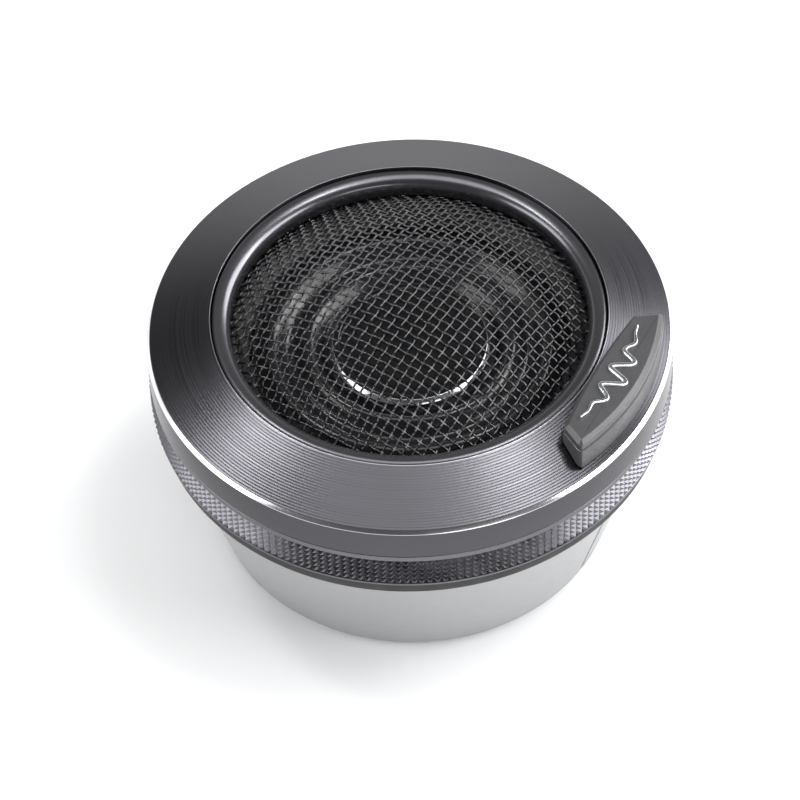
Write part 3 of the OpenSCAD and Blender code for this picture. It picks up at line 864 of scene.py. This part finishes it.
class WireClothOperator(bpy.types.Operator):
    """Domed cloth of crimped wire in plain weave"""

    bl_idname = "tweeter.wire_cloth"
    bl_label = "Wire Cloth"

    def execute(self, context):
        sizes = settings().cloth
        black = metal("blackened_wire", (0.08, 0.08, 0.083), 0.16, grain=4200, bump=0.06)
        sets = (("grille_wires_first", 0.0, 0), ("grille_wires_second", math.pi / 2, 1))
        for name, turn, parity in sets:
            fit(self.wires(name, sizes, turn, parity, black), "head", "black_wire", "grille_mesh")
        return {"FINISHED"}

    def wires(self, name, sizes, turn, parity, material):
        """Wire i lies at distance (i + 1/2) pitch from the middle of a flat sheet. The sheet wraps
        a ball: a point at distance rho from the middle goes to the angle rho / R from the ball's
        pole. Its height above the ball is half a wire times cos(pi a / pitch), where a is the
        distance along the wire, and it changes sign from wire to wire. Past the rim the wires run
        on, drooping, by the width of the hem."""
        rim_gap, hem, shortest, droop = 0.15, 0.55, 0.4, 0.3
        rim_r = sizes.lip_r - rim_gap
        rim_z = low_z("grille_ring") + sizes.seat_h
        rise = high_z("grille_mesh") - rim_z
        ball = (rim_r ** 2 + rise ** 2) / (2 * rise)
        rim_rho = ball * math.asin(rim_r / ball)
        reach = rim_rho + hem
        count = int(reach / sizes.pitch)
        index = np.arange(-count - 1, count + 1)
        across = (index + 0.5) * sizes.pitch
        kept = np.abs(across) < reach - shortest
        index, across = index[kept], across[kept]
        half = np.sqrt(reach ** 2 - across ** 2)
        along = np.linspace(-1, 1, sizes.samples)[None] * half[:, None]
        phase = math.pi * (along / sizes.pitch + 0.5)
        lift = 0.5 * sizes.wire * np.sin(phase) * np.where((index + parity) % 2, 1, -1)[:, None]
        side = np.broadcast_to(across[:, None], along.shape)
        angle = sizes.turn + turn
        x = along * math.cos(angle) - side * math.sin(angle)
        y = along * math.sin(angle) + side * math.cos(angle)
        rho = np.hypot(x, y)
        tilt = np.minimum(rho, rim_rho) / ball
        past = np.maximum(rho - rim_rho, 0)
        radial = ball * np.sin(tilt) + past
        middle = rim_z - ball * math.cos(rim_rho / ball)
        outward = np.stack([np.sin(tilt) * x / rho, np.sin(tilt) * y / rho, np.cos(tilt)], axis=2)
        line = np.stack([radial * x / rho, radial * y / rho,
                         middle + ball * np.cos(tilt) - droop * past], axis=2)
        line = line + outward * (lift - 0.5 * sizes.wire)[:, :, None]
        ahead = unit(np.gradient(line, axis=1))
        sideways = unit(np.cross(ahead, outward))
        up = np.cross(sideways, ahead)
        spin = np.arange(sizes.sides) / sizes.sides * TAU
        ring = np.cos(spin)[:, None] * sideways[:, :, None] + np.sin(spin)[:, None] * up[:, :, None]
        points = line[:, :, None] + 0.5 * sizes.wire * ring
        shell = Shell()
        for wire in points:
            first = shell.grid(wire)
            shell.lid(first, sizes.sides)
            shell.lid(first + (sizes.samples - 1) * sizes.sides, sizes.sides)
        return shell.finish(name, [material], sharp=80.0)


class BadgeOperator(bpy.types.Operator):
    """Two-level badge with a raised wave emblem"""

    bl_idname = "tweeter.badge"
    bl_label = "Badge"

    def execute(self, context):
        sizes = settings().badge
        grey = moulded("satin_badge", settings().colours.badge, 0.34, grain=6500, bump=0.12)
        base_top, cap_foot, cap_top = high_z("badge_base"), low_z("badge_cap"), high_z("badge_cap")
        outline, cut = self.outline(sizes)
        # pairs of inset and height, from the foot up
        base = [(0.05, None), (0.0, 0.06), (0.0, base_top - 0.12), (0.035, base_top - 0.035),
                (0.12, base_top)]
        self.stack("badge_base_moulded", outline, cut, base, grey, "badge_base")
        bevel = sizes.bevel
        cap = [(0.16, cap_foot), (0.1, cap_foot + 0.06), (0.1, cap_top - bevel - 0.03),
               (0.12, cap_top - bevel + 0.02), (0.08 + bevel, cap_top - 0.02),
               (0.13 + bevel, cap_top)]
        self.stack("badge_cap_moulded", outline, cut, cap, grey, "badge_cap")
        self.emblem(sizes)
        return {"FINISHED"}

    def outline(self, sizes):
        """Outer side an arc, inner side a shallow parabola, ends slanted and then straight. Also
        returns how far each corner is to be cut back."""
        corner_in, corner_out = (21.65, 8.35), (23.95, 9.8)
        end = math.asin(corner_out[1] / sizes.outer_r)
        turn = np.linspace(-end, end, 60)
        arc = sizes.outer_r * np.stack([np.cos(turn), np.sin(turn)], axis=1)
        y = np.linspace(corner_in[1], -corner_in[1], 40)
        depth = corner_in[0] - sizes.inner_x
        inner = np.stack([sizes.inner_x + depth * (y / corner_in[1]) ** 2, y], axis=1)
        ends = np.array([corner_out, (corner_out[0], -corner_out[1])])
        points = np.vstack([arc, ends[:1], inner, ends[1:]])
        along, at_arc, at_slant, at_inner = 0.02, 0.12, 0.2, 0.15
        cut = np.full(len(points), along)
        cut[[0, len(arc) - 1]] = at_arc
        cut[[len(arc), len(points) - 1]] = at_slant
        cut[[len(arc) + 1, len(points) - 2]] = at_inner
        return points, cut

    def inset(self, outline, amount):
        """Each side moved inwards by the amount. A corner goes along (n1 + n2) / (1 + n1 . n2),
        where n1 and n2 are the normals of its two sides."""
        ahead = unit(np.roll(outline, -1, axis=0) - outline)
        second = np.stack([ahead[:, 1], -ahead[:, 0]], axis=1)
        first = np.roll(second, 1, axis=0)
        share = 1 + np.sum(first * second, axis=1, keepdims=True)
        return outline - amount * (first + second) / share

    def stack(self, name, outline, cut, levels, material, node):
        """Insets of the outline at rising heights. The pad's top is a pad's thickness above the
        conical face: a height of None lies on it, and one under 1 mm is counted from it."""
        pad_h, most = 0.2, 1
        trim, sizes = settings().trim, settings().badge
        outer = trim.rim_r - trim.chamfer
        edge_z = low_z("trim_ring") + trim.rim_h
        slope = (high_z("trim_ring") - edge_z) / (outer - trim.face_inner_r)
        turn = np.array([[math.cos(sizes.turn), math.sin(sizes.turn)],
                         [-math.sin(sizes.turn), math.cos(sizes.turn)]])
        rows = []
        for amount, height in levels:
            flat = soften(self.inset(outline, amount), cut)
            radius = np.maximum(np.linalg.norm(flat, axis=1), trim.face_inner_r)
            pad = edge_z + (outer - radius) * slope + pad_h
            z = pad if height is None else pad + height if height < most else height
            rows.append(np.column_stack([flat @ turn, np.broadcast_to(z, len(flat))]))
        points = np.stack(rows)
        shell = Shell()
        first = shell.grid(points)
        count = points.shape[1]
        shell.fan(first, count, points[0].mean(axis=0))
        shell.lid(first + (len(rows) - 1) * count, count)
        piece = shell.finish(name, [material], sharp=16.0)
        fit(piece, "head", "badge_grey", node)

    def emblem(self, sizes):
        """A ribbon with a rounded back that follows the wave: at s from 0 to 1 its middle line is
        at radius wave_r + swing sin(2 pi waves s) sin(pi s)^2."""
        chrome = metal("satin_chrome", (0.78, 0.79, 0.8), 0.2, bump=0.04)
        tail, steps, thinnest = 0.005, 420, 0.35
        s = np.linspace(tail, 1 - tail, steps)
        fade = np.sin(math.pi * s) ** 2
        wave = sizes.wave_swing * np.sin(TAU * sizes.waves * s) * fade
        turn = sizes.turn + (s - 0.5) * sizes.wave_length / sizes.wave_r
        radius = sizes.wave_r + wave
        line = np.stack([radius * np.cos(turn), radius * np.sin(turn)], axis=1)
        ahead = unit(np.gradient(line, axis=0))
        side = np.stack([ahead[:, 1], -ahead[:, 0]], axis=1)
        half = sizes.wave_half * (thinnest + (1 - thinnest) * np.sqrt(fade))
        foot = low_z("badge_emblem")
        rise = high_z("badge_emblem") - foot
        # the ribbon's section, as shares of its half width and of its height
        shape = np.array([[1, 0], [1, 0.55], [0.88, 0.83], [0.6, 0.96], [0, 1.0],
                          [-0.6, 0.96], [-0.88, 0.83], [-1, 0.55], [-1, 0]])
        flat = line[None] + shape[:, 0][:, None, None] * (half[:, None] * side)[None]
        z = np.broadcast_to(foot + rise * shape[:, 1][:, None], flat.shape[:2])
        points = np.concatenate([flat, z[:, :, None]], axis=2).transpose(1, 0, 2)
        shell = Shell()
        first = shell.grid(points)
        shell.lid(first, len(shape))
        shell.lid(first + (steps - 1) * len(shape), len(shape))
        piece = shell.finish("badge_wave", [chrome], sharp=50.0)
        fit(piece, "head", "bright_metal", "badge_emblem")


class DiaphragmOperator(bpy.types.Operator):
    """Glossy diaphragm with a half roll on each side of the coil"""

    bl_idname = "tweeter.diaphragm"
    bl_label = "Diaphragm"

    def execute(self, context):
        sizes = settings().driver
        silk = doped_silk("doped_silk", (0.012, 0.012, 0.014))
        foot = low_z("diaphragm")
        # share of the way across one roll; its height is that of the rolls times sin^2 of pi share
        r = np.linspace(sizes.roll_in_r, sizes.roll_out_r, 90)
        share = np.where(r < sizes.roll_mid_r,
                         (r - sizes.roll_in_r) / (sizes.roll_mid_r - sizes.roll_in_r),
                         (r - sizes.roll_mid_r) / (sizes.roll_out_r - sizes.roll_mid_r))
        z = foot + sizes.roll_h * np.sin(math.pi * share) ** 2
        outline = np.vstack([np.stack([r, z], axis=1), np.stack([r, z + sizes.skin], axis=1)[::-1]])
        piece = turned_ring("diaphragm_rolled", outline, [silk], sharp=60.0)
        fit(piece, "moving_coil", "coated_silk", "diaphragm")
        return {"FINISHED"}


class PhasePlugOperator(bpy.types.Operator):
    """Phase plug: flat glossy disc with a polished bevel"""

    bl_idname = "tweeter.phase_plug"
    bl_label = "Phase Plug"

    def execute(self, context):
        sizes = settings().driver
        gloss = glossy("gloss_disc", (0.006, 0.006, 0.007), 0.1)
        bright = turned_metal("polished_bevel", (0.8, 0.81, 0.83), 0.14, lines=0.08)
        foot, top = low_z("phase_plug"), high_z("phase_plug")
        plug_r, slack = sizes.plug_r, 0.02
        edge, bevel_z = plug_r + sizes.plug_bevel, top - sizes.plug_bevel
        stem_r, stem_z, disc_z, dish_z = 4.0, foot + 1.8, top - 0.85, top - 0.05
        outline = soften([[0, foot], [stem_r, foot], [stem_r, stem_z], [plug_r, disc_z - 0.1],
                          [edge, disc_z], [edge, bevel_z], [plug_r, top], [plug_r - 0.55, top],
                          [plug_r - 0.62, dish_z], [plug_r - 0.7, dish_z], [0, dish_z]],
                         0.03, 3, closed=False)
        middle = (outline[1:] + outline[:-1]) / 2
        slots = (middle[:, 0] > plug_r - slack) & (middle[:, 1] > bevel_z - slack)
        piece = turned_disc("phase_plug_disc", outline, [gloss, bright], 192, slots.astype(int))
        fit(piece, "head", "gloss_black", "phase_plug")
        return {"FINISHED"}


class FinishesOperator(bpy.types.Operator):
    """Finishes of the CAD nodes that keep their own shape"""

    bl_idname = "tweeter.finishes"
    bl_label = "Finishes"

    def execute(self, context):
        made = {
            "cup_paint": silver_paint("silver_paint", settings().colours.paint),
            "foam": foam("cell_foam", (0.05, 0.05, 0.055)),
            "rubber": moulded("soft_rubber", (0.02, 0.02, 0.021), 0.6, grain=2600, bump=0.3),
            "black_nylon": moulded("filled_nylon", (0.02, 0.02, 0.022), 0.5, grain=3600, bump=0.3),
            "zinc_steel": metal("zinc_steel", (0.62, 0.63, 0.66), 0.34),
            "black_satin": moulded("sprayed_black", (0.016, 0.016, 0.017), 0.42),
            "plated_iron": metal("plated_iron", (0.5, 0.5, 0.5), 0.3, grain=2400, bump=0.15),
            "nickel": metal("bright_nickel", (0.68, 0.66, 0.62), 0.18),
            "copper": wound_copper("wound_copper", (0.8, 0.36, 0.18)),
            "felt": fibres("wool_felt", (0.2, 0.2, 0.2), 4000),
            "former_film": glossy("amber_film", (0.5, 0.27, 0.06), 0.2),
            "board": glass_epoxy("glass_board", (0.26, 0.17, 0.06)),
            "brass_tab": metal("rolled_brass", (0.78, 0.6, 0.28), 0.26),
        }
        slots = {part["node"]: part["material_slot"] for part in frame["record"]["subparts"]}
        for name, node in frame["nodes"].items():
            if node.hide_render:
                continue
            slot = slots[name]
            if slot not in made:
                raise RuntimeError(f"no finish was made for {slot} on {name}")
            node.data.materials.clear()
            node.data.materials.append(made[slot])
        return {"FINISHED"}


# ---------------- add-on

OPERATORS = (
    StageOperator, TrimRingOperator, TwistRingOperator, GrilleRingOperator, WireClothOperator,
    BadgeOperator, DiaphragmOperator, PhasePlugOperator, FinishesOperator,
)
GROUPS = (
    TrimSizes, KnurlSizes, ClothSizes, BadgeSizes, DriverSizes, Colours, StageSizes,
    TweeterSettings,
)


class TweeterPanel(bpy.types.Panel):
    """Lists the steps that build the tweeter"""

    bl_idname = "VIEW3D_PT_tweeter"
    bl_label = "Ring Radiator Tweeter"
    bl_space_type = "VIEW_3D"
    bl_region_type = "UI"
    bl_category = "Tweeter"

    def draw(self, context):
        for operator in OPERATORS:
            self.layout.operator(operator.bl_idname)


CLASSES = (*GROUPS, *OPERATORS, TweeterPanel)


def register():
    for made in CLASSES:
        bpy.utils.register_class(made)
    bpy.types.Scene.tweeter = bpy.props.PointerProperty(type=TweeterSettings)


def unregister():
    del bpy.types.Scene.tweeter
    for made in reversed(CLASSES):
        bpy.utils.unregister_class(made)


def main():
    register()
    for operator in OPERATORS:
        space, name = operator.bl_idname.split(".")
        if getattr(getattr(bpy.ops, space), name)() != {"FINISHED"}:
            raise RuntimeError(f"{operator.bl_label} wasn't built")


if __name__ == "__main__":
    main()
